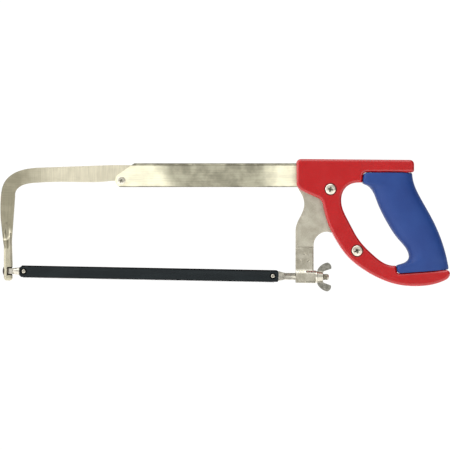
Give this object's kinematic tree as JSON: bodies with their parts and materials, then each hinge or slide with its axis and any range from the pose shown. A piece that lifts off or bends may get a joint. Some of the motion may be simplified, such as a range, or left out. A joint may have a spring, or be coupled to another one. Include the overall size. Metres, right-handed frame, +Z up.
{
  "type": "adjustable hacksaw",
  "caption": "Adjustable hacksaw: telescoping steel frame, D-shaped handle with a rubber grip, and a pinned blade tensioned by a wing nut.",
  "frame": {"origin": "middle of the hand grip, on the saw's centre plane", "axes": "+X runs from the nose of the frame to the handle along the back channel, +Z is up from the blade to the back, and the blade is put on from the -Y side"},
  "size_m": [0.4504, 0.028, 0.1327],
  "materials": {
    "nickel_channel": "satin nickel plate",
    "nickel_arm": "satin nickel plate",
    "steel_tang": "dull nickel plate",
    "nickel_fittings": "bright nickel plate",
    "cast_wing_nut": "plated, as cast",
    "red_shell": "gloss, moulded",
    "blue_rubber": "matt, soft",
    "black_blade": "satin black paint"
  },
  "bodies": {
    "frame": {"back_channel": "nickel_channel", "channel_pin": "nickel_fittings", "tang_rivets": "nickel_fittings", "tang_plate": "steel_tang", "stud_sleeve": "steel_tang", "handle_near_shell": "red_shell", "handle_far_shell": "red_shell", "near_grip_pad": "blue_rubber", "far_grip_pad": "blue_rubber", "upper_handle_screw": "nickel_fittings", "lower_handle_screw": "nickel_fittings", "upper_barrel_nut": "nickel_fittings", "lower_barrel_nut": "nickel_fittings"},
    "arm": {"front_arm": "nickel_arm"},
    "front_stud": {"front_stud": "nickel_fittings", "front_blade_pin": "nickel_fittings"},
    "tension_stud": {"tension_stud": "nickel_fittings", "rear_blade_pin": "nickel_fittings"},
    "blade": {"saw_blade": "black_blade"},
    "wing_nut": {"wing_nut": "cast_wing_nut", "thrust_washer": "nickel_fittings"}
  },
  "joints": [
    {"name": "arm_slide", "type": "slide", "parent": "frame", "child": "arm", "axis": [-1, 0, 0], "range_m": [0, 0.05]},
    {"name": "wing_nut_spin", "type": "hinge", "parent": "frame", "child": "wing_nut", "pos_m": [-0.09126, 0, -0.05509], "axis": [0.9998, 0, -0.0188], "range_deg": [0, 1440]},
    {"name": "tension_slide", "type": "slide", "parent": "frame", "child": "tension_stud", "axis": [-0.9998, 0, 0.0188], "range_m": [0, 0.00508]},
    {"name": "front_stud_slide", "type": "slide", "parent": "arm", "child": "front_stud", "axis": [-0.9998, 0, 0.0188], "range_m": [0, 0.00508]},
    {"name": "blade_lift_off", "type": "slide", "parent": "tension_stud", "child": "blade", "axis": [0, -1, 0], "range_m": [0, 0.014]}
  ],
  "couplings": [
    {"joint": "wing_nut_spin", "follows": "tension_slide", "rad_per_m": 4947.4},
    {"joint": "front_stud_slide", "follows": "tension_slide", "ratio": 1}
  ]
}
